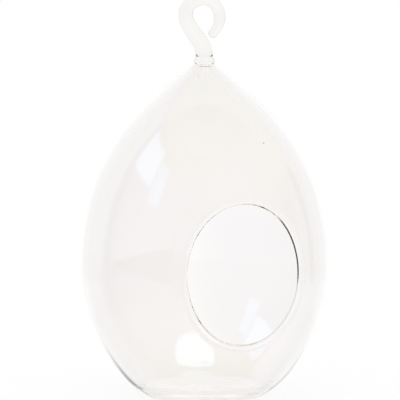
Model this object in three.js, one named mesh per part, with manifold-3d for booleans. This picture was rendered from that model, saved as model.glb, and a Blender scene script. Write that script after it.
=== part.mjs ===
// Egg-shaped hanging terrarium in clear lampworked glass. Millimetres, +Z up.
// The window faces -Y and the hook bends in the XZ plane.
// The origin is the centre of the flat foot that it stands on.
import * as THREE from "three";
import { mergeVertices } from "three/addons/utils/BufferGeometryUtils.js";
import Module from "manifold-3d";

// Egg
const bodyDiameter = 124.4;
const bellyHeight = 61.5; // where the egg is widest
const crownHeight = 166.1; // where the egg ends and the knop begins
const crownDiameter = 9.4; // the flat at the crown's tip
const crownLeanRatio = 1.34; // how far the crown draws in for each millimetre that it rises
const footDiameter = 59; // the flat that it stands on
const heelDiameter = 76.8; // where the rounded heel runs into the flank
const heelHeight = 6.2;
const heelLeanRatio = 1.2; // how far the flank leans out at the heel for each millimetre that it rises
const flankHandle = 5.1; // how far the flank holds the heel's lean
const flankSwell = 26; // how far below the belly the flank begins to run upright
const shoulderSwell = 63; // how far above the belly the shoulder still runs upright
const crownHandle = 15.4; // how far below its tip the crown holds its lean
const wall = 2;

// Cavity
const floorThickness = 4;
const floorDome = 0.8; // how far the floor swells at its centre
const floorCorner = 3.4; // radius where the wall meets the floor
const crownSolid = 2.4; // glass left above the cavity's tip
const cavityTipRise = 0.9; // the rounded end of the cavity

// Window
const windowWidth = 57.4;
const windowHeight = 68.4;
const windowCentre = 66.9; // height of its middle above the foot
const rimWidth = 3.6; // the fire-polished bead, along the wall
const rimThickness = 2.9; // the same bead, through the wall
const seatClearance = 0.3; // between the bead and the wall that it closes

// Neck
const knopDiameter = 10.9;
const knopHeight = 4;
const waistDiameter = 8.2; // the flat between the knop and the rod

// Hook, its knots given from the neck's axis and from the knop's top
const rodFootDiameter = 8.6;
const rodLimbDiameter = 7.2;
const rodTopDiameter = 5.8;
const rodMouthDiameter = 5.9;
const rodTipDiameter = 4.6;
const limbReach = 9.8;
const limbRise = 21.2;
const topOffset = 0.7;
const topRise = 28;
const mouthReach = 8.15;
const mouthRise = 19.1;
const tipReach = 4.7;
const tipRise = 11.2;
const tipTurn = 55; // degrees above level of the rod's last direction, looking back along it
const tipHandle = 2.5;
const bendFullness = 0.55; // 0.55 gives near circular bends between the crook's knots
const shankFullness = 0.4; // the long bend from the neck into the crook

// Facets
const roundSides = 64;
const flankRows = 10;
const shoulderRows = 15;
const rimSteps = 72;
const rimSides = 10;
const rodSides = 12;
const rowsPerBend = 9;
const tipRows = 4;
const tipClosing = 0.95; // share of a quarter turn at which the rounded tip ends in a small flat
const cornerRows = 4;
const knopRows = 6;
const weld = 0.0001; // points nearer than this are one point

const wasm = await Module();
wasm.setup();

// Turns a geometry into bare merged triangles without the collapsed ones at its poles.
function bare(geometry) {
  geometry.deleteAttribute("normal");
  geometry.deleteAttribute("uv");
  const merged = mergeVertices(geometry, weld);
  const corners = merged.index.array;
  const kept = [];
  for (let i = 0; i < corners.length; i += 3) {
    const [a, b, c] = corners.slice(i, i + 3);
    if (a !== b && b !== c && c !== a) kept.push(a, b, c);
  }
  merged.setIndex(kept);
  return merged;
}

function toSolid(geometry) {
  const clean = bare(geometry);
  return new wasm.Manifold(new wasm.Mesh({
    numProp: 3,
    vertProperties: new Float32Array(clean.attributes.position.array),
    triVerts: new Uint32Array(clean.index.array),
  }));
}

function fromSolid(solid) {
  const cut = solid.getMesh();
  const geometry = new THREE.BufferGeometry();
  geometry.setAttribute("position", new THREE.BufferAttribute(cut.vertProperties, 3));
  geometry.setIndex(new THREE.BufferAttribute(cut.triVerts, 1));
  return geometry;
}

// Turns a profile of radius and height, listed from the bottom up, round the upright axis.
function turned(profile) {
  const geometry = new THREE.LatheGeometry(profile, roundSides);
  geometry.rotateX(Math.PI / 2);
  return geometry;
}

// Joins rings of points into one closed skin. A loop joins its last ring to its first.
function skin(rings, loop) {
  const sides = rings[0].length;
  const points = rings.flat();
  const faces = [];
  const spans = loop ? rings.length : rings.length - 1;
  for (let i = 0; i < spans; i += 1) {
    const here = i * sides;
    const there = ((i + 1) % rings.length) * sides;
    for (let j = 0; j < sides; j += 1) {
      const k = (j + 1) % sides;
      faces.push(here + j, here + k, there + k);
      faces.push(here + j, there + k, there + j);
    }
  }
  if (!loop) {
    const last = points.length - sides;
    for (let j = 1; j < sides - 1; j += 1) {
      faces.push(0, j + 1, j);
      faces.push(last, last + j, last + j + 1);
    }
  }
  const geometry = new THREE.BufferGeometry().setFromPoints(points);
  geometry.setIndex(faces);
  return geometry;
}

// A ring of points round a centre, in the plane square to along, starting from out.
function section(centre, along, out, outRadius, sideRadius, sides) {
  const side = new THREE.Vector3().crossVectors(along, out);
  return Array.from({ length: sides }, (_, j) => {
    const turn = (2 * Math.PI * j) / sides;
    return centre.clone()
      .addScaledVector(out, outRadius * Math.cos(turn))
      .addScaledVector(side, sideRadius * Math.sin(turn));
  });
}

// The egg's outline from heel to belly and from belly to crown
const flank = new THREE.CubicBezierCurve(
  new THREE.Vector2(heelDiameter / 2, heelHeight),
  new THREE.Vector2(heelDiameter / 2 + heelLeanRatio * flankHandle, heelHeight + flankHandle),
  new THREE.Vector2(bodyDiameter / 2, bellyHeight - flankSwell),
  new THREE.Vector2(bodyDiameter / 2, bellyHeight),
);
const shoulder = new THREE.CubicBezierCurve(
  new THREE.Vector2(bodyDiameter / 2, bellyHeight),
  new THREE.Vector2(bodyDiameter / 2, bellyHeight + shoulderSwell),
  new THREE.Vector2(crownDiameter / 2 + crownLeanRatio * crownHandle, crownHeight - crownHandle),
  new THREE.Vector2(crownDiameter / 2, crownHeight),
);

// A point of the outline moved inwards by inset, with the outward direction there
function wallPoint(curve, share, inset) {
  const along = curve.getTangent(share);
  const out = new THREE.Vector2(along.y, -along.x);
  return { at: curve.getPoint(share).addScaledVector(out, -inset), out };
}

// The whole outline at one inset, from the heel up
function wallPoints(inset) {
  const points = [];
  for (let i = 0; i <= flankRows; i += 1) points.push(wallPoint(flank, i / flankRows, inset));
  for (let i = 1; i <= shoulderRows; i += 1) points.push(wallPoint(shoulder, i / shoulderRows, inset));
  return points;
}

// Radius and outward direction of the outline at one height and inset, carried on straight past its ends
function wallAt(height, inset) {
  const points = wallPoints(inset);
  const lower = points.filter((point) => point.at.y < height).length;
  const above = THREE.MathUtils.clamp(lower, 1, points.length - 1);
  const low = points[above - 1];
  const high = points[above];
  const share = (height - low.at.y) / (high.at.y - low.at.y);
  return {
    radius: THREE.MathUtils.lerp(low.at.x, high.at.x, share),
    out: low.out.clone().lerp(high.out, share).normalize(),
  };
}

// Samples a corner bend of radius and height, leaving out its first point
function bend(...knots) {
  return new THREE.QuadraticBezierCurve(...knots).getPoints(cornerRows).slice(1);
}

function outerProfile() {
  const foot = new THREE.Vector2(footDiameter / 2, 0);
  const corner = new THREE.Vector2(heelDiameter / 2 - heelLeanRatio * heelHeight, 0);
  const outline = wallPoints(0).map((point) => point.at);
  return [
    new THREE.Vector2(0, 0),
    foot,
    ...bend(foot, corner, outline[0]),
    ...outline.slice(1),
    new THREE.Vector2(0, crownHeight),
  ];
}

function cavityProfile() {
  const cornerTop = floorThickness + floorCorner;
  const ceiling = crownHeight - crownSolid;
  const outline = wallPoints(wall).map((point) => point.at);
  const inside = outline.filter((point) => point.y > cornerTop && point.y < ceiling);
  const wallFoot = new THREE.Vector2(wallAt(cornerTop, wall).radius, cornerTop);
  const wallTop = new THREE.Vector2(wallAt(ceiling, wall).radius, ceiling);
  const corner = new THREE.Vector2(wallAt(floorThickness, wall).radius, floorThickness);
  const floorEdge = new THREE.Vector2(corner.x - floorCorner, floorThickness);
  const middle = new THREE.Vector2(0, floorThickness + floorDome);
  const crest = new THREE.Vector2(floorEdge.x / 2, floorThickness + floorDome);
  return [
    middle,
    ...bend(middle, crest, floorEdge),
    ...bend(floorEdge, corner, wallFoot),
    ...inside,
    wallTop,
    new THREE.Vector2(0, ceiling + cavityTipRise),
  ];
}

// Half width and half height of the ring that runs through the middle of the bead
const ringWidth = (windowWidth + rimWidth) / 2;
const ringHeight = (windowHeight + rimWidth) / 2;

// A closed bead that lies in the wall all round the window, thicker on every side by extra
function beadGeometry(extra) {
  const place = (turn) => {
    const height = windowCentre + ringHeight * Math.sin(turn);
    const side = ringWidth * Math.cos(turn);
    const wallHere = wallAt(height, wall / 2);
    const depth = Math.sqrt(wallHere.radius ** 2 - side ** 2);
    const centre = new THREE.Vector3(side, -depth, height);
    const level = wallHere.out.x / wallHere.radius;
    return { centre, out: new THREE.Vector3(side * level, -depth * level, wallHere.out.y) };
  };
  const rings = Array.from({ length: rimSteps }, (_, i) => {
    const turn = (2 * Math.PI * i) / rimSteps;
    const half = Math.PI / rimSteps;
    const { centre, out } = place(turn);
    const along = place(turn + half).centre.sub(place(turn - half).centre).normalize();
    const square = out.addScaledVector(along, -out.dot(along)).normalize();
    return section(centre, along, square, rimThickness / 2 + extra, rimWidth / 2 + extra, rimSides);
  });
  return skin(rings, true);
}

function windowCutter() {
  const oval = new THREE.Shape();
  oval.absellipse(0, windowCentre, ringWidth, ringHeight, 0, 2 * Math.PI);
  const cutter = new THREE.ExtrudeGeometry(oval, {
    depth: bodyDiameter,
    bevelEnabled: false,
    curveSegments: rimSteps / 2,
  });
  cutter.rotateX(Math.PI / 2);
  return cutter;
}

function glassBody() {
  const shell = toSolid(turned(outerProfile())).subtract(toSolid(turned(cavityProfile())));
  const cut = shell.subtract(toSolid(windowCutter()));
  return fromSolid(cut.subtract(toSolid(beadGeometry(seatClearance))));
}

function neckKnop() {
  const under = new THREE.Vector2(crownDiameter / 2, crownHeight);
  const top = new THREE.Vector2(waistDiameter / 2, crownHeight + knopHeight);
  const bulge = (knopDiameter - Math.max(crownDiameter, waistDiameter)) / 2;
  const side = Array.from({ length: knopRows + 1 }, (_, i) => {
    const share = i / knopRows;
    const point = under.clone().lerp(top, share);
    point.x += bulge * Math.sin(Math.PI * share);
    return point;
  });
  return bare(turned([new THREE.Vector2(0, crownHeight), ...side, new THREE.Vector2(0, top.y)]));
}

// The rod's centre line in the XZ plane, as four bends between the crook's knots
function hookBends() {
  const neck = crownHeight + knopHeight;
  const foot = new THREE.Vector2(0, neck);
  const limb = new THREE.Vector2(-limbReach, neck + limbRise);
  const top = new THREE.Vector2(-topOffset, neck + topRise);
  const mouth = new THREE.Vector2(mouthReach, neck + mouthRise);
  const tip = new THREE.Vector2(tipReach, neck + tipRise);
  const turn = THREE.MathUtils.degToRad(tipTurn);
  const tipBack = new THREE.Vector2(Math.cos(turn), Math.sin(turn)).multiplyScalar(tipHandle);
  const handle = (x, y) => new THREE.Vector2(x, y);
  return [
    new THREE.CubicBezierCurve(
      foot,
      handle(foot.x, foot.y + shankFullness * limbRise),
      handle(limb.x, limb.y - shankFullness * limbRise),
      limb,
    ),
    new THREE.CubicBezierCurve(
      limb,
      handle(limb.x, limb.y + bendFullness * (top.y - limb.y)),
      handle(top.x - bendFullness * (top.x - limb.x), top.y),
      top,
    ),
    new THREE.CubicBezierCurve(
      top,
      handle(top.x + bendFullness * (mouth.x - top.x), top.y),
      handle(mouth.x, mouth.y + bendFullness * (top.y - mouth.y)),
      mouth,
    ),
    new THREE.CubicBezierCurve(
      mouth,
      handle(mouth.x, mouth.y - bendFullness * (mouth.y - tip.y)),
      tip.clone().add(tipBack),
      tip,
    ),
  ];
}

function hangingHook() {
  const drawn = [rodFootDiameter, rodLimbDiameter, rodTopDiameter, rodMouthDiameter, rodTipDiameter];
  const out = new THREE.Vector3(0, -1, 0);
  const rings = [];
  const addRing = (flat, along, radius) => {
    const centre = new THREE.Vector3(flat.x, 0, flat.y);
    const direction = new THREE.Vector3(along.x, 0, along.y);
    rings.push(section(centre, direction, out, radius, radius, rodSides));
  };
  hookBends().forEach((curve, number) => {
    for (let i = number ? 1 : 0; i <= rowsPerBend; i += 1) {
      const share = i / rowsPerBend;
      const radius = THREE.MathUtils.lerp(drawn[number], drawn[number + 1], share) / 2;
      addRing(curve.getPointAt(share), curve.getTangentAt(share), radius);
    }
  });
  const last = hookBends().at(-1);
  const end = last.getPointAt(1);
  const along = last.getTangentAt(1);
  const tipRadius = rodTipDiameter / 2;
  for (let i = 1; i <= tipRows; i += 1) {
    const lift = (tipClosing * Math.PI * i) / (2 * tipRows);
    const centre = end.clone().addScaledVector(along, tipRadius * Math.sin(lift));
    addRing(centre, along, tipRadius * Math.cos(lift));
  }
  return skin(rings, false);
}

const clearGlass = { color: 0xe9eaec, roughness: 0.04, metalness: 0, transparent: true, opacity: 0.35 };

function piece(name, geometry) {
  const flat = geometry.toNonIndexed();
  flat.computeVertexNormals();
  const mesh = new THREE.Mesh(flat, new THREE.MeshStandardMaterial(clearGlass));
  mesh.name = name;
  return mesh;
}

const terrarium = new THREE.Group();
terrarium.add(
  piece("glass_body", glassBody()),
  piece("opening_rim", beadGeometry(0)),
  piece("neck_knop", neckKnop()),
  piece("hanging_hook", hangingHook()),
);

export default terrarium;
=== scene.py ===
# %% [markdown]
# # A hanging glass egg, blown and lampworked
#
# The object is an egg-shaped terrarium of clear glass. A glass blower makes it hot, in four steps: an egg is
# blown and its foot is pressed flat, an oval window is cut in its side, the cut edge is melted round in the
# flame, and a solid rod is sealed to the crown with a small bead and bent into a hook.
#
# The CAD frame already has these four pieces at their real sizes, with flat facets. Glass shows every facet,
# because it bends the light at each one, so each piece is modelled again here, finer and smooth, in the same
# place. All lengths below are in millimetres and are turned into metres where a mesh is made.

# %% Load the frame
import math
import bpy
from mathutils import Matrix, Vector


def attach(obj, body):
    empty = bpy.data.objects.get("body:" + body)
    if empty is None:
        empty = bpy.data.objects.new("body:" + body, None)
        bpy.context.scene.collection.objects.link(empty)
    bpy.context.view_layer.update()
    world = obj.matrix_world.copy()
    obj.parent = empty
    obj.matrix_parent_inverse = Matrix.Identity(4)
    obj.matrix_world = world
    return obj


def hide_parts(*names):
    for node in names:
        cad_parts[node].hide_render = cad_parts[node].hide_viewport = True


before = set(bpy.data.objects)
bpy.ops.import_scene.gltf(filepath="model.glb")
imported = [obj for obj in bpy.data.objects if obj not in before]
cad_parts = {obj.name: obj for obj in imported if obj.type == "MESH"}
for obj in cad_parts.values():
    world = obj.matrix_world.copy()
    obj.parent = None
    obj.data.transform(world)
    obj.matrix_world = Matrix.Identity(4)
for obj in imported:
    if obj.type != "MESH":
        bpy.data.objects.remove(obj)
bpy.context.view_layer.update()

MM = 0.001

# %% [markdown]
# ## Camera
#
# The photograph was taken from a little above the belly and from the left of the window's middle, through a
# long lens, so the egg's sides hardly converge. The camera stands on a sphere round a point at the egg's
# middle height, which makes its place easy to say: one azimuth, one elevation and one distance. The lens and
# the sensor then say how much of the object the frame takes in, and a very small shift puts the egg a few
# pixels right of the frame's middle, as in the photograph.

# %% Place the camera
AZIMUTH = -20.4
ELEVATION = 6.0
DISTANCE = 1.5
AIM_HEIGHT = 98.0
FRAME_WIDTH = 200.0
FRAME_PIXELS = 400
SENSOR = 36.0
SHIFT_PIXELS = 4.3
NEAREST_SEEN = 0.01


def view_direction(azimuth, elevation):
    """The unit vector from the aim towards a camera. Azimuth 0 stands on -Y and turns towards +X."""
    a = math.radians(azimuth)
    e = math.radians(elevation)
    return Vector((math.sin(a) * math.cos(e), -math.cos(a) * math.cos(e), math.sin(e)))


aim = Vector((0, 0, AIM_HEIGHT * MM))
towards_camera = view_direction(AZIMUTH, ELEVATION)
camera_data = bpy.data.cameras.new("camera")
camera_data.sensor_width = SENSOR
camera_data.lens = SENSOR * DISTANCE / (FRAME_WIDTH * MM)
camera_data.shift_x = -SHIFT_PIXELS / FRAME_PIXELS
camera_data.clip_start = NEAREST_SEEN
camera = bpy.data.objects.new("camera", camera_data)
camera.location = aim + DISTANCE * towards_camera
camera.rotation_euler = towards_camera.to_track_quat("Z", "Y").to_euler()
bpy.context.scene.collection.objects.link(camera)
bpy.context.scene.camera = camera
print("camera at", [round(value, 3) for value in camera.location], "lens", round(camera_data.lens, 1))

# %% [markdown]
# ## The egg's outline
#
# A blown egg is round about its upright axis, so one outline of radius and height describes it. Two cubic
# curves meet at the belly, where the egg is widest, and a short bend rounds the heel into the flat foot. The
# inner wall is the same outline moved inwards by the wall's thickness, because a blown wall is about even.

# %% Curves and the wall's outline
BODY_DIAMETER = 124.4
BELLY_HEIGHT = 61.5
CROWN_HEIGHT = 166.1
CROWN_DIAMETER = 9.4
CROWN_LEAN = 1.34
FOOT_DIAMETER = 59.0
HEEL_DIAMETER = 76.8
HEEL_HEIGHT = 6.2
HEEL_LEAN = 1.2
FLANK_HANDLE = 5.1
FLANK_SWELL = 26.0
SHOULDER_SWELL = 63.0
CROWN_HANDLE = 15.4
WALL = 2.0
FLANK_ROWS = 44
SHOULDER_ROWS = 72


def quadratic(a, b, c, share):
    """A point on the bend from a to c that leans towards b."""
    return a * (1 - share) ** 2 + b * (2 * share * (1 - share)) + c * share ** 2


def cubic(knots, share):
    """A point on the cubic curve through four knots, and the direction in which it runs there."""
    a, b, c, d = knots
    back = 1 - share
    point = a * back ** 3 + b * (3 * share * back ** 2) + c * (3 * share ** 2 * back) + d * share ** 3
    run = (b - a) * back ** 2 + (c - b) * (2 * share * back) + (d - c) * share ** 2
    return point, run.normalized()


heel = Vector((HEEL_DIAMETER / 2, HEEL_HEIGHT))
belly = Vector((BODY_DIAMETER / 2, BELLY_HEIGHT))
crown = Vector((CROWN_DIAMETER / 2, CROWN_HEIGHT))
flank = (heel, heel + Vector((HEEL_LEAN, 1)) * FLANK_HANDLE, belly - Vector((0, FLANK_SWELL)), belly)
crown_handle = crown + Vector((CROWN_LEAN, -1)) * CROWN_HANDLE
shoulder = (belly, belly + Vector((0, SHOULDER_SWELL)), crown_handle, crown)


def wall_outline(inset):
    """The outline from heel to crown, moved inwards by inset."""
    points = []
    for knots, rows in ((flank, FLANK_ROWS), (shoulder, SHOULDER_ROWS)):
        for row in range(1 if points else 0, rows + 1):
            point, run = cubic(knots, row / rows)
            points.append(point - inset * Vector((run.y, -run.x)))
    return points


inner_belly = max(point.x for point in wall_outline(WALL))
print("outline rows:", len(wall_outline(0)), "inner belly radius:", round(inner_belly, 2))

# %% [markdown]
# ## Turning a form from rings
#
# A form that is round about its axis starts as one small flat disc. The disc's face is extruded to the next
# height and scaled to the next radius, again and again, as a potter draws up a pot. Each step leaves one row
# of even four-sided faces behind, which refract cleanly, and the last face closes the form.

# %% A turned form
MERGE = 0.000002


def deselect():
    """Clears the selection, because an operator acts on everything that is selected."""
    if bpy.context.object and bpy.context.object.mode != "OBJECT":
        bpy.ops.object.mode_set(mode="OBJECT")
    bpy.ops.object.select_all(action="DESELECT")


def pick(piece):
    """Selects one object and makes it the active one."""
    deselect()
    piece.select_set(True)
    bpy.context.view_layer.objects.active = piece


def turned(name, profile, sides):
    """Draws a closed form up from a disc through a list of radius and height."""
    deselect()
    radius, height = profile[0]
    bpy.ops.mesh.primitive_circle_add(
        vertices=sides, radius=radius * MM, fill_type="NGON", location=(0, 0, height * MM))
    form = bpy.context.object
    form.name = name
    bpy.ops.object.transform_apply(location=True, rotation=True, scale=True)
    bpy.ops.object.mode_set(mode="EDIT")
    bpy.ops.mesh.select_all(action="SELECT")
    for next_radius, next_height in profile[1:]:
        bpy.ops.mesh.extrude_region_move(
            TRANSFORM_OT_translate={"value": (0, 0, (next_height - height) * MM)})
        share = next_radius / radius
        bpy.ops.transform.resize(value=(share, share, 1), center_override=(0, 0, next_height * MM))
        radius, height = next_radius, next_height
    bpy.ops.mesh.select_all(action="SELECT")
    bpy.ops.mesh.remove_doubles(threshold=MERGE)
    bpy.ops.mesh.normals_make_consistent(inside=False)
    bpy.ops.object.mode_set(mode="OBJECT")
    return form


def cut(piece, tool, operation):
    """Applies one boolean to a piece and throws the tool away."""
    pick(piece)
    step = piece.modifiers.new("cut", "BOOLEAN")
    step.operation = operation
    step.solver = "EXACT"
    step.object = tool
    bpy.ops.object.modifier_apply(modifier=step.name)
    bpy.data.objects.remove(tool)


# %% [markdown]
# ## The blown egg
#
# The outside is drawn up from the middle of the flat foot. The cavity is a second form with a slightly domed
# floor and a round corner, and it is cut out of the first with a boolean, so that wall and floor become one
# closed shell. The floor is thicker than the wall, because the glass sinks down while it is soft.

# %% Outside and cavity
SIDES = 192
POLE = 0.4
FOOT_RINGS = (6, 14, 22, 27)
HEEL_ROWS = 12
FLOOR_THICKNESS = 4.0
FLOOR_DOME = 0.8
FLOOR_CORNER = 3.4
FLOOR_ROWS = 12
CROWN_SOLID = 2.4
CROWN_SHARES = (0.7, 0.3)
TIP_RISE = 0.9
TIP_TURNS = (0, 0.3, 0.6, 0.9, 1.2, 1.45)

foot_edge = Vector((FOOT_DIAMETER / 2, 0))
heel_lean = Vector((HEEL_DIAMETER / 2 - HEEL_LEAN * HEEL_HEIGHT, 0))
outside = [(POLE, 0)] + [(radius, 0) for radius in FOOT_RINGS] + [tuple(foot_edge)]
outside += [tuple(quadratic(foot_edge, heel_lean, heel, row / HEEL_ROWS)) for row in range(1, HEEL_ROWS + 1)]
outside += [tuple(point) for point in wall_outline(0)[1:]]
outside += [(CROWN_DIAMETER / 2 * share, CROWN_HEIGHT) for share in CROWN_SHARES]

inner_wall = wall_outline(WALL)


def inner_at(height):
    """The inner wall's point at one height."""
    above = next((i for i, point in enumerate(inner_wall) if point.y >= height), len(inner_wall) - 1)
    low, high = inner_wall[max(above, 1) - 1], inner_wall[max(above, 1)]
    return low.lerp(high, (height - low.y) / (high.y - low.y))


corner_top = FLOOR_THICKNESS + FLOOR_CORNER
ceiling = CROWN_HEIGHT - CROWN_SOLID
corner = inner_at(FLOOR_THICKNESS)
floor_edge = Vector((corner.x - FLOOR_CORNER, FLOOR_THICKNESS))
crest = Vector((floor_edge.x / 2, FLOOR_THICKNESS + FLOOR_DOME))
middle = Vector((0, FLOOR_THICKNESS + FLOOR_DOME))
cavity = [(POLE, middle.y)]
cavity += [tuple(quadratic(middle, crest, floor_edge, row / FLOOR_ROWS)) for row in range(1, FLOOR_ROWS + 1)]
cavity += [tuple(quadratic(floor_edge, corner, inner_at(corner_top), row / FLOOR_ROWS))
           for row in range(1, FLOOR_ROWS + 1)]
cavity += [tuple(point) for point in inner_wall if corner_top < point.y < ceiling]
tip_radius = inner_at(ceiling).x
cavity += [(tip_radius * math.cos(turn), ceiling + TIP_RISE * math.sin(turn)) for turn in TIP_TURNS]

egg = turned("blown_egg", outside, SIDES)
hollow = turned("cavity", cavity, SIDES)
cut(egg, hollow, "DIFFERENCE")
print("egg shell:", len(egg.data.polygons), "faces")

# %% [markdown]
# ## The fire-polished rim
#
# The window is cut while the glass is cold, and its raw edge is then melted in a flame. Surface tension draws
# the edge into a round bead that is a little thicker than the wall and follows the egg's curve, so seen from
# the side it is a saddle. A bent tube like this could be placed point by point. It is easier to make it flat,
# as a curve with a round section, and to press it onto the egg: the flat ring is bound to a flat sheet, and
# when the sheet is shrunk onto the middle of the wall, the ring goes with it.

# %% The rim, pressed onto the egg
WINDOW_WIDTH = 57.4
WINDOW_HEIGHT = 68.4
WINDOW_CENTRE = 66.9
RIM_WIDTH = 3.6
RIM_THICKNESS = 2.9
RIM_STEPS = 48
RIM_SECTION = 7
SHEET_SIZE = 96.0
SHEET_CELLS = 64
SHEET_PLACE = -80.0

ring_width = (WINDOW_WIDTH + RIM_WIDTH) / 2
ring_height = (WINDOW_HEIGHT + RIM_WIDTH) / 2
quarter = math.radians(90)
window_middle = Vector((0, SHEET_PLACE, WINDOW_CENTRE)) * MM


def flat_ring(name):
    """An oval tube that stands upright in front of the egg."""
    deselect()
    bpy.ops.curve.primitive_bezier_circle_add(radius=1, location=(0, 0, 0))
    ring = bpy.context.object
    ring.name = name
    bpy.ops.object.mode_set(mode="EDIT")
    bpy.ops.curve.select_all(action="SELECT")
    bpy.ops.transform.resize(value=(ring_width * MM, ring_height * MM, 1), center_override=(0, 0, 0))
    bpy.ops.object.mode_set(mode="OBJECT")
    ring.data.resolution_u = RIM_STEPS
    ring.data.bevel_depth = RIM_WIDTH / 2 * MM
    ring.data.bevel_resolution = RIM_SECTION
    bpy.ops.object.convert(target="MESH")
    bpy.ops.object.mode_set(mode="EDIT")
    bpy.ops.mesh.select_all(action="SELECT")
    bpy.ops.mesh.remove_doubles(threshold=MERGE)
    bpy.ops.mesh.normals_make_consistent(inside=False)
    bpy.ops.object.mode_set(mode="OBJECT")
    ring.scale = (1, 1, RIM_THICKNESS / RIM_WIDTH)
    ring.rotation_euler = (quarter, 0, 0)
    ring.location = window_middle
    bpy.ops.object.transform_apply(location=True, rotation=True, scale=True)
    return ring


def press_onto_wall(ring):
    """Shrinks a flat sheet onto the middle of the wall, and the ring follows it."""
    core = turned("wall_middle", [(POLE, 0)] + [tuple(point) for point in wall_outline(WALL / 2)], SIDES)
    deselect()
    bpy.ops.mesh.primitive_grid_add(
        x_subdivisions=SHEET_CELLS, y_subdivisions=SHEET_CELLS, size=SHEET_SIZE * MM,
        location=window_middle, rotation=(quarter, 0, 0))
    sheet = bpy.context.object
    bpy.ops.object.transform_apply(location=True, rotation=True, scale=True)
    pick(ring)
    follow = ring.modifiers.new("follow", "SURFACE_DEFORM")
    follow.target = sheet
    bpy.ops.object.surfacedeform_bind(modifier=follow.name)
    print(ring.name, "bound:", follow.is_bound)
    shrink = sheet.modifiers.new("shrink", "SHRINKWRAP")
    shrink.target = core
    shrink.wrap_method = "PROJECT"
    shrink.use_project_y = True
    shrink.use_positive_direction = True
    shrink.use_negative_direction = False
    bpy.context.view_layer.update()
    pick(ring)
    bpy.ops.object.modifier_apply(modifier=follow.name)
    bpy.data.objects.remove(sheet)
    bpy.data.objects.remove(core)


rim = flat_ring("fire_polished_rim")
press_onto_wall(rim)
print("rim:", len(rim.data.polygons), "faces, box", [round(v, 4) for v in rim.dimensions])

# %% [markdown]
# ## The window
#
# An oval cylinder is driven through the front wall only, and it ends the wall in the middle of the bead. The
# bead is then joined to the egg with a boolean, because on the real object it is the wall's own molten edge.
# If the two only touched, light would be thrown back at the gap between them, and the rim would show double
# lines.

# %% Cut the window and join the rim
CUTTER_SIDES = 192
CUTTER_DEPTH = 90.0

deselect()
bpy.ops.mesh.primitive_cylinder_add(
    vertices=CUTTER_SIDES, radius=1, depth=CUTTER_DEPTH * MM, end_fill_type="NGON",
    location=(0, -CUTTER_DEPTH / 2 * MM, WINDOW_CENTRE * MM), rotation=(quarter, 0, 0))
window = bpy.context.object
window.scale = (ring_width * MM, ring_height * MM, 1)
bpy.ops.object.transform_apply(location=True, rotation=True, scale=True)
cut(egg, window, "DIFFERENCE")
cut(egg, rim, "UNION")
print("egg with its window and rim:", len(egg.data.polygons), "faces")

# %% [markdown]
# ## The neck bead and the hook
#
# The rod is sealed to the crown through a small bead of glass. The bead is a turned form like the egg. The
# hook is a rod that is drawn thinner along its length and bent in one plane. It is drawn out like the
# turned forms: a disc is extruded along the route in short steps, and each step turns and shrinks the disc.

# %% The neck bead
KNOP_DIAMETER = 10.9
KNOP_HEIGHT = 4.0
WAIST_DIAMETER = 8.2
KNOP_ROWS = 20
KNOP_SIDES = 96
JOINT_GAP = 0.02

neck = CROWN_HEIGHT + KNOP_HEIGHT
bulge = (KNOP_DIAMETER - max(CROWN_DIAMETER, WAIST_DIAMETER)) / 2
knop_profile = [(POLE, CROWN_HEIGHT + JOINT_GAP), (CROWN_DIAMETER / 4, CROWN_HEIGHT + JOINT_GAP)]
for row in range(KNOP_ROWS + 1):
    share = row / KNOP_ROWS
    even_radius = (CROWN_DIAMETER + (WAIST_DIAMETER - CROWN_DIAMETER) * share) / 2
    row_height = CROWN_HEIGHT + JOINT_GAP + (KNOP_HEIGHT - 2 * JOINT_GAP) * share
    knop_profile.append((even_radius + bulge * math.sin(math.pi * share), row_height))
knop_profile += [(WAIST_DIAMETER / 4, neck - JOINT_GAP), (POLE, neck - JOINT_GAP)]
knop = turned("neck_bead", knop_profile, KNOP_SIDES)
print("neck bead:", len(knop.data.polygons), "faces")

# %% The hook's route
ROD_DIAMETERS = (8.6, 7.2, 5.8, 5.9, 4.6)
LIMB = Vector((-9.8, 21.2))
TOP = Vector((-0.7, 28.0))
MOUTH = Vector((8.15, 19.1))
TIP = Vector((4.7, 11.2))
TIP_TURN = 55
TIP_HANDLE = 2.5
BEND_FULLNESS = 0.55
SHANK_FULLNESS = 0.4
ROWS_PER_BEND = 30
ROD_SIDES = 56
TIP_ROWS = 10
TIP_CLOSES = 86
FINE_STEPS = 400

up = Vector((0, 1))
tip_back = Vector((math.cos(math.radians(TIP_TURN)), math.sin(math.radians(TIP_TURN)))) * TIP_HANDLE
start = Vector((0, 0))
bends = (
    (start, start + up * (SHANK_FULLNESS * LIMB.y), LIMB - up * (SHANK_FULLNESS * LIMB.y), LIMB),
    (LIMB, LIMB + up * (BEND_FULLNESS * (TOP.y - LIMB.y)),
     TOP - Vector((BEND_FULLNESS * (TOP.x - LIMB.x), 0)), TOP),
    (TOP, TOP + Vector((BEND_FULLNESS * (MOUTH.x - TOP.x), 0)),
     MOUTH + up * (BEND_FULLNESS * (TOP.y - MOUTH.y)), MOUTH),
    (MOUTH, MOUTH - up * (BEND_FULLNESS * (MOUTH.y - TIP.y)), TIP + tip_back, TIP),
)


def even_shares(knots, rows):
    """Shares of one bend that lie at even distances along it."""
    fine = [cubic(knots, i / FINE_STEPS)[0] for i in range(FINE_STEPS + 1)]
    lengths = [0.0]
    for i in range(FINE_STEPS):
        lengths.append(lengths[-1] + (fine[i + 1] - fine[i]).length)
    shares = []
    i = 0
    for row in range(rows + 1):
        goal = lengths[-1] * row / rows
        while i < FINE_STEPS - 1 and lengths[i + 1] < goal:
            i += 1
        shares.append((i + (goal - lengths[i]) / (lengths[i + 1] - lengths[i])) / FINE_STEPS)
    return shares


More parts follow.
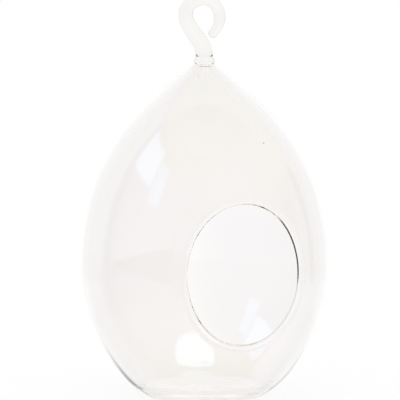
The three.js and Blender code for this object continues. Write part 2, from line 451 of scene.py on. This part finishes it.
route = []
for number, knots in enumerate(bends):
    shares = even_shares(knots, ROWS_PER_BEND)
    for row in range(1 if number else 0, ROWS_PER_BEND + 1):
        point, run = cubic(knots, shares[row])
        thick = ROD_DIAMETERS[number]
        thin = ROD_DIAMETERS[number + 1]
        route.append((point, run, (thick + (thin - thick) * row / ROWS_PER_BEND) / 2))
end, end_run, end_radius = route[-1]
for row in range(1, TIP_ROWS + 1):
    lift = math.radians(TIP_CLOSES) * row / TIP_ROWS
    route.append((end + end_run * (end_radius * math.sin(lift)), end_run, end_radius * math.cos(lift)))
print("route of the rod:", len(route), "rings")

# %% Draw the rod along its route


def drawn_rod(name, rings, sides):
    """Extrudes a disc along rings of place, direction and radius in the XZ plane."""
    place, run, radius = rings[0]
    deselect()
    bpy.ops.mesh.primitive_circle_add(
        vertices=sides, radius=radius * MM, fill_type="NGON",
        location=(place.x * MM, 0, (neck + JOINT_GAP + place.y) * MM))
    rod = bpy.context.object
    rod.name = name
    bpy.ops.object.transform_apply(location=True, rotation=True, scale=True)
    bpy.ops.object.mode_set(mode="EDIT")
    bpy.ops.mesh.select_all(action="SELECT")
    for next_place, next_run, next_radius in rings[1:]:
        step = (next_place - place) * MM
        centre = (next_place.x * MM, 0, (neck + JOINT_GAP + next_place.y) * MM)
        bpy.ops.mesh.extrude_region_move(TRANSFORM_OT_translate={"value": (step.x, 0, step.y)})
        turn = math.atan2(next_run.x, next_run.y) - math.atan2(run.x, run.y)
        turn = (turn + math.pi) % (2 * math.pi) - math.pi
        bpy.ops.transform.rotate(value=-turn, orient_axis="Y", center_override=centre)
        share = next_radius / radius
        bpy.ops.transform.resize(value=(share, share, share), center_override=centre)
        place, run, radius = next_place, next_run, next_radius
    bpy.ops.mesh.select_all(action="SELECT")
    bpy.ops.mesh.normals_make_consistent(inside=False)
    bpy.ops.object.mode_set(mode="OBJECT")
    return rod


hook = drawn_rod("rod_hook", route, ROD_SIDES)
hook_low = min(vertex.co.z for vertex in hook.data.vertices)
hook_high = max(vertex.co.z for vertex in hook.data.vertices)
print("hook:", len(hook.data.polygons), "faces, from", round(hook_low, 4), "to", round(hook_high, 4))

# %% [markdown]
# ## Smooth faces
#
# Molten glass has no edges, so all faces are shaded smooth. Only the places where two surfaces really meet at
# an angle, such as the line where the bead leaves the wall, keep a crease.

# %% Shade the pieces
CREASE = math.radians(32)
pieces = {"glass_body": egg, "neck_knop": knop, "hanging_hook": hook}
for piece in pieces.values():
    pick(piece)
    bpy.ops.object.shade_smooth_by_angle(angle=CREASE)
    print(piece.name, "smooth,", len(piece.data.vertices), "vertices")

# %% [markdown]
# ## Writing materials as sums
#
# A material is easier to read as a sum than as a net of boxes. A small class holds one socket of a node, and
# adding or multiplying it adds a Math node to the net.

# %% A socket that can be reckoned with


class Value:
    """One output socket. Sums and products of it become Math nodes."""

    def __init__(self, net, socket):
        self.net = net
        self.socket = socket

    def math(self, operation, *others):
        return self.net.node("ShaderNodeMath", {"operation": operation}, self, *others)

    def __add__(self, other):
        return self.math("ADD", other)

    def __mul__(self, other):
        return self.math("MULTIPLY", other)

    def __sub__(self, other):
        return self.math("SUBTRACT", other)

    def __rsub__(self, other):
        return self.net.node("ShaderNodeMath", {"operation": "SUBTRACT"}, other, self)

    def __truediv__(self, other):
        return self.math("DIVIDE", other)

    __radd__ = __add__


class Net:
    """The nodes of one material or of the world."""

    def __init__(self, tree):
        self.tree = tree
        tree.nodes.clear()

    def node(self, kind, settings=None, *inputs, output=0, **named):
        """Adds a node, sets it up, links or fills its inputs, and returns one output."""
        made = self.tree.nodes.new(kind)
        for key, value in (settings or {}).items():
            setattr(made, key, value)
        for key, value in list(enumerate(inputs)) + [(k.replace("_", " "), v) for k, v in named.items()]:
            if isinstance(value, Value):
                self.tree.links.new(value.socket, made.inputs[key])
            else:
                made.inputs[key].default_value = value
        return Value(self, made.outputs[output]) if made.outputs else made

    def ray(self, answer):
        """One of the answers that a ray gives about its path so far."""
        return self.node("ShaderNodeLightPath", output=answer)

    def mirrored(self):
        """1 for a ray that the glass has thrown back at least once, and 0 for any other."""
        return self.ray("Glossy Depth").math("GREATER_THAN", 0.5)

    def dot(self, one, other):
        """How far one direction points along another."""
        settings = {"operation": "DOT_PRODUCT"}
        return self.node("ShaderNodeVectorMath", settings, one, tuple(other), output="Value")

    def smooth(self, value, low, high):
        """Rises softly from 0 at low to 1 at high."""
        settings = {"interpolation_type": "SMOOTHSTEP"}
        return self.node("ShaderNodeMapRange", settings, value, low, high, 0.0, 1.0)

    def between(self, value, low, high, soft):
        """1 from low to high and 0 outside, with soft edges."""
        return self.smooth(value, low - soft, low + soft) * (1 - self.smooth(value, high - soft, high + soft))

    def mix(self, share, none, full):
        """A colour that goes from none to full."""
        mixed = self.node("ShaderNodeMix", {"data_type": "RGBA"}, share, output=2)
        for place, colour in ((6, none), (7, full)):
            if isinstance(colour, Value):
                self.tree.links.new(colour.socket, mixed.socket.node.inputs[place])
            else:
                mixed.socket.node.inputs[place].default_value = (*colour, 1)
        return mixed


# %% [markdown]
# ## Clear glass
#
# The glass is colourless borosilicate. What makes it read as blown and not as perfect is small: the surface
# swells and sinks very gently, because hot glass never cools quite even, and handling leaves a faint bloom
# here and there. So the bump is wide and low, and the roughness is almost nothing and rises in soft patches.
# One dark seed sits high in the wall, right of the middle: a speck that was caught in the melt.
#
# The solid rod and bead have a painted shade where they turn away, so their edges are drawn darker. Where the
# bead is sealed on, small dark dots of painted shade sit at the two sides of each seal. A lamp's light passes
# through, which keeps the shadow as pale as a real one.

# %% The glass material
IOR = 1.47
SHADOW_TINT = (0.95, 0.95, 0.955)
SWELL_DETAIL = 1.0
SWELL_ROUGHNESS = 0.4
BLOOM_SCALE = 38.0
BLOOM_DETAIL = 3.0
BLOOM_ROUGHNESS = 0.55
BLOOM_RANGE = (0.55, 0.8)
# Painted edge shade: solid glass is coloured darker where its surface turns away.
PAINTED_EDGE_SHADE_RANGE = (0.35, 1.0)
# Painted seal shade: small dark dots at each seal, where the surface turns sideways.
SEAL_PAINTED_SHADE = (0.1, 0.09, 0.07)
SEAL_SHADE_SOFTNESS = 0.1
SEAL_SHADE_TURN = 0.25
SEED_COLOUR = (0.2, 0.19, 0.18)
SEED_CORE = 0.2
SEED_REACH = 0.6


def clear_glass(name, tint, painted_edge_shade, seal_shades, seeds, swell_size, swell_height, bloom):
    """Clear glass with a soft swell, a faint bloom and its seeds; solid glass gets painted shade at edges and
    seals.
    """
    material = bpy.data.materials.new(name)
    material.use_nodes = True
    net = Net(material.node_tree)
    place = net.node("ShaderNodeTexCoord", output="Object")
    swell = net.node(
        "ShaderNodeTexNoise", {}, Vector=place, Scale=1 / (swell_size * MM),
        Detail=SWELL_DETAIL, Roughness=SWELL_ROUGHNESS)
    patches = net.node(
        "ShaderNodeTexNoise", {}, Vector=place, Scale=BLOOM_SCALE,
        Detail=BLOOM_DETAIL, Roughness=BLOOM_ROUGHNESS)
    roughness = net.smooth(patches, *BLOOM_RANGE) * bloom
    surface = net.node("ShaderNodeBump", {}, Strength=1.0, Distance=swell_height * MM, Height=swell)
    colour = tint
    if painted_edge_shade:
        # Painted shade: the colour darkens where the surface turns away, so the edges of solid glass look
        # darker.
        away = net.node("ShaderNodeLayerWeight", {}, Blend=0.5, output="Facing")
        colour = net.mix(net.smooth(away, *PAINTED_EDGE_SHADE_RANGE), tint, painted_edge_shade)
        upright = net.node("ShaderNodeSeparateXYZ", {}, place, output="Z") * (1 / MM)
        # Painted shade: small dark dots at each seal's height, where the surface turns sideways.
        for low, high, turned_away in seal_shades:
            sideways = net.smooth(away, turned_away, turned_away + SEAL_SHADE_TURN)
            painted_seal_shade = net.between(upright, low, high, SEAL_SHADE_SOFTNESS) * sideways
            colour = net.mix(painted_seal_shade, colour, SEAL_PAINTED_SHADE)
    for seed in seeds:
        settings = {"operation": "DISTANCE"}
        near = net.node("ShaderNodeVectorMath", settings, place, tuple(seed * MM), output="Value") * (1 / MM)
        colour = net.mix(1 - net.smooth(near, SEED_CORE, SEED_REACH), colour, SEED_COLOUR)
    glass = net.node(
        "ShaderNodeBsdfPrincipled", {}, Base_Color=colour, Roughness=roughness, IOR=IOR,
        Transmission_Weight=1.0, Normal=surface)
    through = net.node("ShaderNodeBsdfTransparent", {}, Color=(*SHADOW_TINT, 1))
    shown = net.node("ShaderNodeMixShader", {}, net.ray("Is Shadow Ray"), glass, through)
    net.node("ShaderNodeOutputMaterial", {}, Surface=shown)
    return material


# %% The three kinds of glass
BLOWN = (0.994, 0.982, 0.979)
DRAWN = (0.957, 0.945, 0.93)
# The painted shade at the edges of the solid rod and bead.
DRAWN_PAINTED_EDGE_SHADE = (0.86, 0.85, 0.82)
SEED_PLACE = Vector((16.1, -39.7, 129.3))
# Heights and turn of the painted shade dots at the lower and upper seal.
LOWER_SEAL_SHADE = (CROWN_HEIGHT + 0.15, CROWN_HEIGHT + 0.7, 0.35)
UPPER_SEAL_SHADE = (neck - 0.3, neck + 0.8, 0.25)

finishes = {
    "glass_body": clear_glass(
        "clear_blown_glass", BLOWN, None, (), (SEED_PLACE,), swell_size=26, swell_height=0.05, bloom=0.012),
    "neck_knop": clear_glass(
        "sealed_glass", DRAWN, DRAWN_PAINTED_EDGE_SHADE, (LOWER_SEAL_SHADE, UPPER_SEAL_SHADE), (),
        swell_size=6, swell_height=0.03, bloom=0.01),
    "hanging_hook": clear_glass(
        "drawn_glass", DRAWN, DRAWN_PAINTED_EDGE_SHADE, (UPPER_SEAL_SHADE,), (), swell_size=9, swell_height=0.04, bloom=0.01),
}
for node, piece in pieces.items():
    piece.data.materials.clear()
    piece.data.materials.append(finishes[node])
    print(piece.name, "in", finishes[node].name)

# %% [markdown]
# ## Each piece on its body
#
# The terrarium has no moving joint, so everything rides on the one body, and each fine piece stands for its
# CAD node.

# %% Ride and replace
STANDS_FOR = {
    "glass_body": ("glass_body", "opening_rim"),
    "neck_knop": ("neck_knop",),
    "hanging_hook": ("hanging_hook",),
}
for node, piece in pieces.items():
    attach(piece, "root")
    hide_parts(*STANDS_FOR[node])
    print(piece.name, "stands for", ", ".join(STANDS_FOR[node]))

# %% [markdown]
# ## Floor
#
# The photograph has a plain white ground. The floor is pale paper that is shown nearly white, directly and
# through the glass, with just enough matt paper left in it to keep the object's soft shadow. A ray that the
# glass has thrown back passes through it, and sees the table of the room below.

# %% The floor
FLOOR_SIZE = 8.0
FLOOR_DROP = 0.3
WHITE = (1.0, 1.0, 1.0)
PAPER_COLOUR = (0.95, 0.95, 0.95)
WHITE_SHARE = 0.92

deselect()
bpy.ops.mesh.primitive_plane_add(size=FLOOR_SIZE, location=(0, 0, -FLOOR_DROP * MM))
ground = bpy.context.object
ground.name = "pale_floor"
paper = bpy.data.materials.new("pale_paper")
paper.use_nodes = True
net = Net(paper.node_tree)
seen = net.ray("Is Camera Ray").math("MAXIMUM", net.ray("Is Transmission Ray"))
white = net.node("ShaderNodeEmission", {}, Color=(*WHITE, 1), Strength=1.0)
matt = net.node("ShaderNodeBsdfDiffuse", {}, Color=(*PAPER_COLOUR, 1))
bright = net.node("ShaderNodeMixShader", {}, seen * WHITE_SHARE, matt, white)
let_through = net.node("ShaderNodeBsdfTransparent", {}, Color=(*WHITE, 1))
shown = net.node("ShaderNodeMixShader", {}, net.mirrored(), bright, let_through)
net.node("ShaderNodeOutputMaterial", {}, Surface=shown)
ground.data.materials.append(paper)
print("floor:", FLOOR_SIZE, "m square")

# %% [markdown]
# ## The room that the glass mirrors
#
# Clear glass has no colour of its own. What draws it is what it mirrors, and that is the photographer's room:
# dark on the left and warm and light on the right, with a table below, a dim ceiling above, a window with two
# panes high on the left and a shelf on the right that widens towards the back. The world is white where the
# camera looks at it or through the glass. It is this room for every ray that the glass has thrown back at
# least once, which the count of mirrored bounces tells. Each place in the room is said as a turn from the
# photograph's far side, positive to the right, and a height above the horizon, both in degrees.
#
# An egg of glass shows the room twice. The outside of the front wall bulges, so it shows each side where it
# is. The inside of the back wall is hollow, so it shows the left on the right and the top below. That is why
# the two sides of the room differ: seen through the window, only the back wall's picture is left.

# %% Directions in the room
DEGREE = 180 / math.pi
BACK_WALL_COUNT = 4.5

far_side = -towards_camera.to_2d().to_3d().normalized()
right_side = Vector((far_side.y, -far_side.x, 0))
world = bpy.data.worlds.new("studio")
bpy.context.scene.world = world
world.use_nodes = True
net = Net(world.node_tree)
direction = net.node("ShaderNodeTexCoord", output="Generated")
turn = net.dot(direction, right_side).math("ARCTAN2", net.dot(direction, far_side)) * DEGREE
away = turn.math("ABSOLUTE")
rightward = turn.math("WRAP", 360, 0)
height = net.node("ShaderNodeSeparateXYZ", {}, direction, output="Z").math("ARCSINE") * DEGREE
depth = height * -1
ray_count = net.ray("Ray Depth")
through_back = ray_count.math("GREATER_THAN", BACK_WALL_COUNT)
print("far side of the room:", [round(v, 3) for v in far_side])

# %% [markdown]
# The walls, the table and the ceiling come first. A pair of numbers says where a soft change starts and ends.

# %% Walls, table and ceiling
LEFT_WALL = (0.02, 0.0, 0.0)
RIGHT_WALL = (0.75, 0.66, 0.36)
LEFT_TABLE = (0.25, 0.15, 0.32)
RIGHT_TABLE = (1.1, 0.98, 0.6)
LEFT_PAPER = (0.5, 0.4, 0.5)
NEAR_TABLE_COLOUR = (0.42, 0.42, 0.2)
CEILING_COLOUR = (0.62, 0.58, 0.3)
TOP_COLOUR = (0.45, 0.48, 0.02)
HORIZON = (-5.5, -4.5)
LEFT_TO_RIGHT = (-0.45, 0.45)
LEFT_PAPER_DEPTHS = (15, 35)
NEAR_TABLE_DEPTHS = (45, 65)
CEILING_HEIGHTS = (45, 60)
TOP_HEIGHTS = (70, 80)

above = net.smooth(height, *HORIZON)
rightness = net.smooth((turn / DEGREE).math("SINE"), *LEFT_TO_RIGHT)
left_table = net.mix(net.smooth(depth, *LEFT_PAPER_DEPTHS), LEFT_TABLE, LEFT_PAPER)
table = net.mix(rightness, left_table, RIGHT_TABLE)
room = net.mix(above, table, net.mix(rightness, LEFT_WALL, RIGHT_WALL))
room = net.mix(net.smooth(depth, *NEAR_TABLE_DEPTHS), room, NEAR_TABLE_COLOUR)
room = net.mix(net.smooth(height, *CEILING_HEIGHTS), room, CEILING_COLOUR)
room = net.mix(net.smooth(height, *TOP_HEIGHTS), room, TOP_COLOUR)
print("walls, table and ceiling:", len(world.node_tree.nodes), "nodes")

# %% [markdown]
# Near the horizon the room is nearly grey, because the glass's outline mirrors that part most, from any side.
# The shelf keeps its colour. It starts as a thin board and widens to the right, upwards more than downwards,
# and only the back wall shows it, as the wedge left of the window. Three numbers in a range are its low end,
# its high end and the softness of both.

# %% Grey at the horizon, and the shelf
DARKEST_GREY = 0.12
GREY_HEIGHTS = (-42, 16, 8)
GREY_SHARE = 0.85
SHELF_COLOUR = (0.42, 0.34, 0.05)
SHELF_TURNS = (73, 190, 4)
SHELF_WIDENS = (73, 156)
SHELF_BOTTOM = -7.2
SHELF_TOP = -5.8
SHELF_SINKS = 3
SHELF_RISES = 23
SHELF_SOFTNESS = 0.8

grey = net.node("ShaderNodeRGBToBW", {}, room).math("MAXIMUM", DARKEST_GREY)
room = net.mix(net.between(height, *GREY_HEIGHTS) * GREY_SHARE, room, grey)
widened = net.smooth(rightward, *SHELF_WIDENS)
shelf_bottom = widened * -SHELF_SINKS + SHELF_BOTTOM
shelf_top = widened * SHELF_RISES + SHELF_TOP
shelf = net.between(rightward, *SHELF_TURNS) * net.between(height, shelf_bottom, shelf_top, SHELF_SOFTNESS)
room = net.mix(shelf * through_back, room, SHELF_COLOUR)
print("grey and shelf:", len(world.node_tree.nodes), "nodes")

# %% [markdown]
# On the far side hangs the white backdrop. It fades out to both sides and upwards, and more slowly in a band
# just below the horizon, where it bends into the table. A grey surround frames it, and the middle of the back
# wall glows a little.

# %% The white backdrop
SIDE_COLOUR = (0.7, 0.7, 0.7)
GLOW_COLOUR = (1.05, 1.07, 1.07)
WALL_LEFT_END = (-78, -66)
WALL_RIGHT_END = (44, 56)
TABLE_ENDS = (60, 84)
BACKDROP_FADE = (5, 72)
BEND_HEIGHTS = (-18, -8, 3)
BEND_FADE = (10, 15)
BACKDROP_DEPTHS = (26, 42)
GLOW_ENDS = (14, 26)
GLOW_HEIGHTS = (-16, 16, 6)

on_wall = net.smooth(turn, *WALL_LEFT_END) * (1 - net.smooth(turn, *WALL_RIGHT_END))
on_table = 1 - net.smooth(away, *TABLE_ENDS)
surround = (on_table + above * (on_wall - on_table)) * (1 - net.smooth(height, *CEILING_HEIGHTS))
room = net.mix(surround, room, SIDE_COLOUR)
bend = net.between(height, *BEND_HEIGHTS)
fade_start = BACKDROP_FADE[0] + bend * BEND_FADE[0]
fade_end = BACKDROP_FADE[1] + bend * BEND_FADE[1]
faded = net.smooth(away.math("MAXIMUM", height), fade_start, fade_end)
room = net.mix((1 - faded) * (1 - net.smooth(depth, *BACKDROP_DEPTHS)), room, WHITE)
glow = through_back * (1 - net.smooth(away, *GLOW_ENDS)) * net.between(height, *GLOW_HEIGHTS)
room = net.mix(glow, room, GLOW_COLOUR)
print("backdrop:", len(world.node_tree.nodes), "nodes")

# %% The window's two panes
WINDOW_COLOUR = (0.65, 1.0, 1.5)
PANE_COLOUR = (0.35, 0.6, 0.98)
WINDOW_PLACE = ((-114, -78, 1.5), (32, 50, 1.5))
PANE_PLACE = ((-131, -116, 1.5), (24, 45, 1.5))


def patch(turns, heights):
    """A soft-edged patch of the room, from a range of turns and a range of heights."""
    return net.between(turn, *turns) * net.between(height, *heights)


room = net.mix(patch(*WINDOW_PLACE), room, WINDOW_COLOUR)
room = net.mix(patch(*PANE_PLACE), room, PANE_COLOUR)
print("panes:", len(world.node_tree.nodes), "nodes")

# %% [markdown]
# ## What only some rays see
#
# The count of a ray's steps tells which wall threw it back. The round lamp overhead is only seen in the back
# wall, as the white patch above the foot. Rays that turned inside the rim's edge see a dark curtain on the
# right, which draws the rim's dark arc, and the outside of the same flank sees its light hem. Two dark gaps
# beside the table draw the two strokes at the heel. Light that has been bent far aside passes the edge of the
# white backdrop, so that solid glass gets its thin dark outline.

# %% The round lamp
ROUND_LAMP_COLOUR = (1.9, 2.3, 2.5)
ROUND_LAMP_TURN = 154.5
ROUND_LAMP_HEIGHT = 68.5
ROUND_LAMP_EDGE = (17.0, 21.0)


def towards(turned, raised):
    """The unit vector towards one place in the room."""
    t = math.radians(turned)
    r = math.radians(raised)
    level = (math.cos(t) * far_side + math.sin(t) * right_side) * math.cos(r)
    return level + Vector((0, 0, math.sin(r)))


from_lamp = net.dot(direction, towards(ROUND_LAMP_TURN, ROUND_LAMP_HEIGHT)).math("ARCCOSINE") * DEGREE
lit = (1 - net.smooth(from_lamp, *ROUND_LAMP_EDGE)) * through_back
room = net.mix(lit, room, ROUND_LAMP_COLOUR)
print("round lamp:", len(world.node_tree.nodes), "nodes")

# %% Rim, curtain and hem of light
EDGE_COLOUR = (0.8, 0.78, 0.82)
CURTAIN_COLOUR = (0.02, 0.015, 0.01)
GLARE_COLOUR = (1.15, 1.12, 0.85)
EDGE_PLACE = ((50, 110, 3), (-55, -8, 2))
CURTAIN_PLACE = ((56, 92, 5), (-8, 22, 3))
GLARE_PLACE = ((65, 92, 4), (-8, 22, 3))
EDGE_COUNTS = (3.5, 4.5, 0.1)
OUTSIDE_COUNTS = (2.4, 2.6)

in_edge = net.between(ray_count, *EDGE_COUNTS)
outside_only = 1 - net.smooth(ray_count, *OUTSIDE_COUNTS)
room = net.mix(in_edge * patch(*EDGE_PLACE), room, EDGE_COLOUR)
room = net.mix(in_edge * patch(*CURTAIN_PLACE), room, CURTAIN_COLOUR)
room = net.mix(outside_only * patch(*GLARE_PLACE), room, GLARE_COLOUR)
print("rim:", len(world.node_tree.nodes), "nodes")

# %% Gaps beside the table, and the end of the room
GAP_COLOUR = (0.25, 0.25, 0.25)
DEEP_COLOUR = (0.95, 0.93, 0.9)
WINGS_COLOUR = (0.1, 0.09, 0.08)
LEFT_GAP = ((-28, -13, 2), (18.5, 27.5), (29.5, 34))
RIGHT_GAP = ((8, 19, 2), (15.5, 19), (24, 28))
RIGHT_GAP_SHARE = 0.45
TRAPPED_COUNT = 8.5
WINGS = (66, 76)


def gap(turns, starts, ends):
    """A gap beside the table. It starts and ends softly at depths below the horizon."""
    return net.between(turn, *turns) * net.smooth(depth, *starts) * (1 - net.smooth(depth, *ends))


gaps = gap(*LEFT_GAP) + gap(*RIGHT_GAP) * RIGHT_GAP_SHARE
room = net.mix(gaps * (1 - through_back), room, GAP_COLOUR)
room = net.mix(ray_count.math("GREATER_THAN", TRAPPED_COUNT), room, DEEP_COLOUR)
bent_aside = net.smooth(away.math("MAXIMUM", height), *WINGS) * net.ray("Is Transmission Ray")
backdrop = net.mix(bent_aside, WHITE, WINGS_COLOUR)
sky = net.mix(net.mirrored(), backdrop, room)
shown = net.node("ShaderNodeBackground", {}, Color=sky, Strength=1.0)
net.node("ShaderNodeOutputWorld", {}, Surface=shown)
print("whole world:", len(world.node_tree.nodes), "nodes")

# %% [markdown]
# ## Lamp
#
# One large soft lamp stands high on the left. It only has to give the object a soft shadow, so no mirrored
# ray sees its face.

# %% The soft lamp
SOFT_LAMP_PLACE = (-0.8, -0.6, 1.6)
SOFT_LAMP_SIZE = 1.0
SOFT_LAMP_WATTS = 4.0

bpy.ops.object.light_add(type="AREA", location=SOFT_LAMP_PLACE)
lamp = bpy.context.object
lamp.name = "soft_lamp"
lamp.data.size = SOFT_LAMP_SIZE
lamp.data.energy = SOFT_LAMP_WATTS
lamp.rotation_euler = (lamp.location - aim).to_track_quat("Z", "Y").to_euler()
lamp.visible_glossy = False
lamp.visible_transmission = False
print("soft lamp:", SOFT_LAMP_WATTS, "W")

# %% [markdown]
# ## How far light is followed
#
# A ray that enters the rim, or the wall's edge near the outline, runs along inside the glass and is thrown to
# and fro hundreds of times before it leaves. Where such rays are given up, the edge turns black and sooty, so
# far more bounces are allowed here than for an everyday scene.

# %% Bounces
BOUNCES = 400
cycles = bpy.context.scene.cycles
cycles.max_bounces = BOUNCES
cycles.glossy_bounces = BOUNCES
cycles.transmission_bounces = BOUNCES
print("bounces followed:", BOUNCES)

# %% View settings and closing
bpy.context.scene.view_settings.view_transform = "Standard"
bpy.context.view_layer.update()
